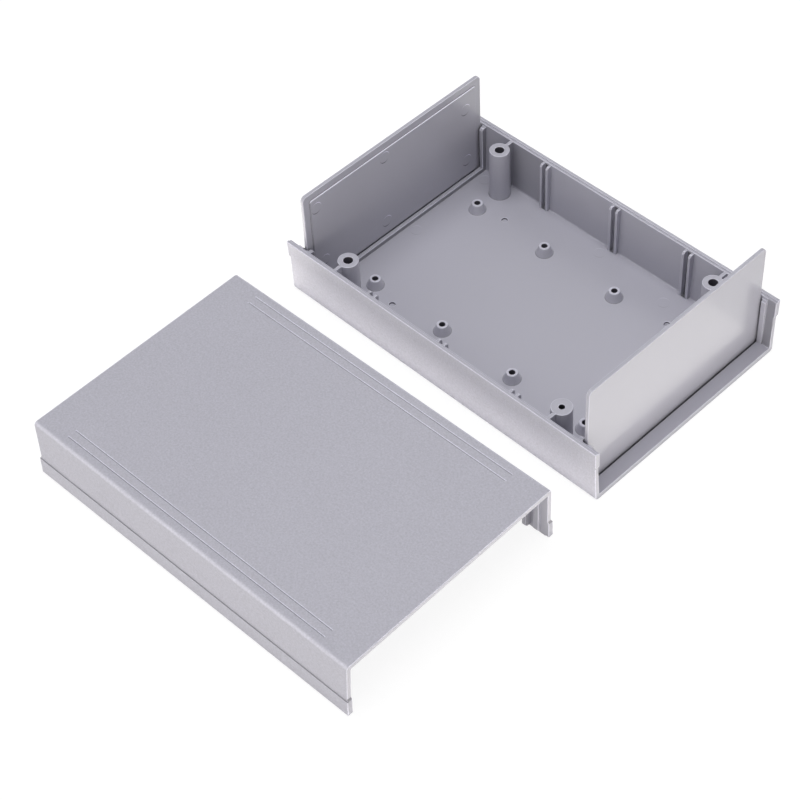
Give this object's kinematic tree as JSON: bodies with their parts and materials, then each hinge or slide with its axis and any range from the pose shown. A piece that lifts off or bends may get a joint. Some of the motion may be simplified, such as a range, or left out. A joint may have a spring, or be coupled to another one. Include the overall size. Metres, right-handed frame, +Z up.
{
  "type": "plastic project box",
  "caption": "Opened plastic electronics enclosure: tray with screw pillars, board stand-offs and card guides, slide-in end panels, and a lift-off cover lying beside it.",
  "frame": {"origin": "middle of the tray's underside", "axes": "+X along the tray towards the front end panel, +Y across it away from the cover, +Z up"},
  "size_m": [0.1548, 0.2226, 0.0495],
  "materials": {
    "shell_plastic": "light bluish grey moulded plastic, smooth satin",
    "textured_shell_plastic": "light bluish grey moulded plastic, fine spark texture outside",
    "panel_plastic": "light bluish grey moulded plastic, satin"
  },
  "bodies": {
    "tray": {"base_tray": "shell_plastic"},
    "cover": {"cover": "textured_shell_plastic"},
    "front_panel": {"front_panel": "panel_plastic"},
    "rear_panel": {"rear_panel": "panel_plastic"}
  },
  "joints": [
    {"name": "front_panel_lift", "type": "slide", "parent": "tray", "child": "front_panel", "axis": [0, 0, 1], "range_m": [0, 0.05]},
    {"name": "rear_panel_lift", "type": "slide", "parent": "tray", "child": "rear_panel", "axis": [0, 0, 1], "range_m": [0, 0.05]},
    {"name": "cover_lift", "type": "slide", "parent": "tray", "child": "cover", "axis": [0, 0, 1], "range_m": [0, 0.06]}
  ]
}
